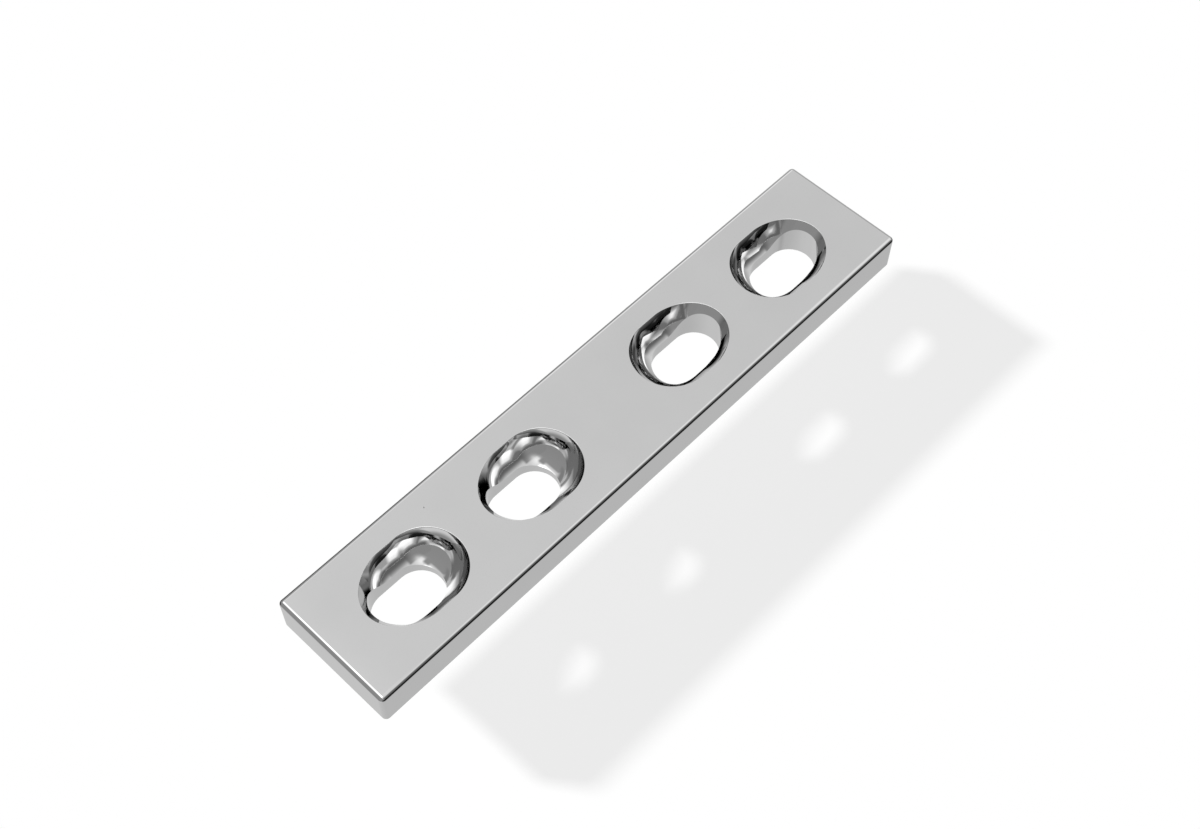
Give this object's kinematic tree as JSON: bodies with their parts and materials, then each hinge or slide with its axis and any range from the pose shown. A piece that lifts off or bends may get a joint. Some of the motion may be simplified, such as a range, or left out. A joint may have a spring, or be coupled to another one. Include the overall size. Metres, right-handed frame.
{
  "type": "orthopedic bone plate",
  "caption": "Straight compression bone plate: a slim steel bar with rounded edges and oval screw slots, each with a ball-shaped seat and a ramp.",
  "frame": {"origin": "middle of the plate's underside, the face that lies on the bone", "axes": "+X along the plate, +Y across it, +Z out of the face that the screw heads go into"},
  "size_m": [0.051, 0.01, 0.003],
  "materials": {
    "implant_steel": "polished"
  },
  "bodies": {
    "root": {"bone_plate": "implant_steel"}
  },
  "joints": []
}
